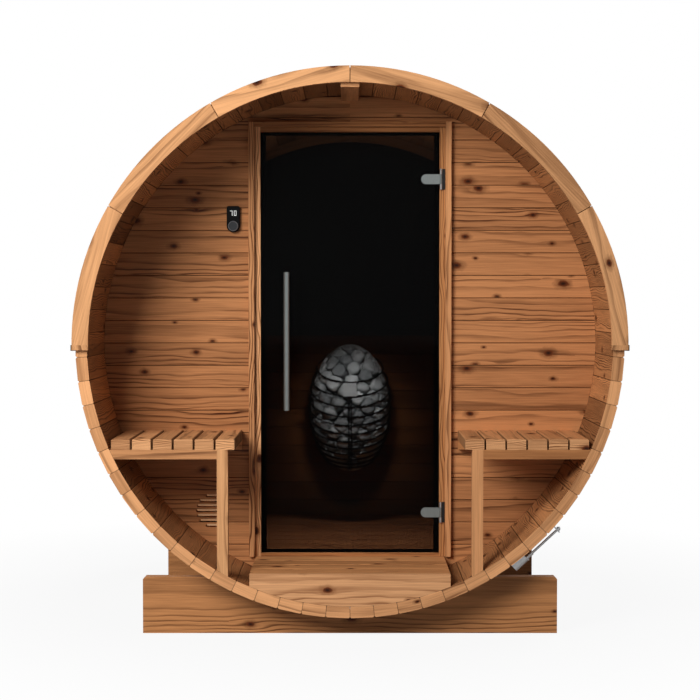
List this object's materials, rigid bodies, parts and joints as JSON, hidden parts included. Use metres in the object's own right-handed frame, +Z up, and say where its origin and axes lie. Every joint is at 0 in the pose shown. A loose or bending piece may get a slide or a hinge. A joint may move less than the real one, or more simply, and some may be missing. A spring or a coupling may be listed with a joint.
{
  "type": "barrel sauna",
  "caption": "Round stave-built sauna cabin on cradle boards, with an open porch, benches, a hinged smoked-glass door, a half-moon rear window and a stone heater inside.",
  "frame": {"origin": "on the ground, under the middle of the barrel", "axes": "+Z up, the porch front faces -Y, +X to the right seen from the front"},
  "size_m": [2.1344, 2.14, 2.1951],
  "materials": {
    "heat_treated_wood": "planed, oiled heat-treated softwood",
    "fascia_wood": "planed, oiled heat-treated softwood, pale",
    "roof_felt": "mineral bitumen felt",
    "black_strip": "black powder coat",
    "stainless": "mill-finish stainless steel",
    "black_rubber": "matt black seal",
    "smoked_glass": "toughened smoked glass",
    "satin_steel": "satin stainless steel",
    "black_plastic": "moulded black housing",
    "grey_dial": "grey knob",
    "heater_stone": "broken olivine stones",
    "heater_steel": "dark stainless wire"
  },
  "bodies": {
    "sauna": {"staves_bottom": "heat_treated_wood", "staves_lower_right": "heat_treated_wood", "staves_right": "heat_treated_wood", "staves_top_right": "heat_treated_wood", "staves_top_left": "heat_treated_wood", "staves_left": "heat_treated_wood", "staves_lower_left": "heat_treated_wood", "cradle_front": "heat_treated_wood", "cradle_middle": "heat_treated_wood", "cradle_rear": "heat_treated_wood", "front_wall_left": "heat_treated_wood", "front_wall_right": "heat_treated_wood", "front_wall_over_door": "heat_treated_wood", "front_wall_below_sill": "heat_treated_wood", "door_jamb_left": "heat_treated_wood", "door_jamb_right": "heat_treated_wood", "door_head": "heat_treated_wood", "door_sill": "heat_treated_wood", "door_casing": "heat_treated_wood", "porch_riser": "heat_treated_wood", "porch_deck": "heat_treated_wood", "porch_bearers": "heat_treated_wood", "bench_left_slats": "heat_treated_wood", "bench_right_slats": "heat_treated_wood", "bench_left_rails": "heat_treated_wood", "bench_right_rails": "heat_treated_wood", "bench_left_leg": "heat_treated_wood", "bench_right_leg": "heat_treated_wood", "porch_ceiling_batten": "heat_treated_wood", "cabin_ceiling_batten": "heat_treated_wood", "cabin_floor": "heat_treated_wood", "rear_wall": "heat_treated_wood", "rear_window_arch": "heat_treated_wood", "rear_window_bead": "heat_treated_wood", "front_fascia": "fascia_wood", "rear_fascia": "fascia_wood", "roof_cover": "roof_felt", "roof_edge_strips": "black_strip", "hoop_front": "stainless", "hoop_middle": "stainless", "hoop_rear": "stainless", "door_seal": "black_rubber", "rear_window_glass": "smoked_glass", "hinge_leaves": "satin_steel", "control_housing": "black_plastic", "heater_stones": "heater_stone", "heater_cage": "heater_steel", "heater_bracket": "heater_steel"},
    "door": {"door_glass": "smoked_glass", "door_handle": "satin_steel", "door_hinge_clamps": "satin_steel"},
    "control_dial": {"control_dial": "grey_dial"}
  },
  "joints": [
    {"name": "door", "type": "hinge", "parent": "sauna", "child": "door", "pos_m": [0.37, -0.6195, 1.13514], "axis": [0, 0, 1], "range_deg": [0, 90]},
    {"name": "dial", "type": "hinge", "parent": "sauna", "child": "control_dial", "pos_m": [-0.475, -0.628, 1.60714], "axis": [0, -1, 0], "continuous": true}
  ]
}
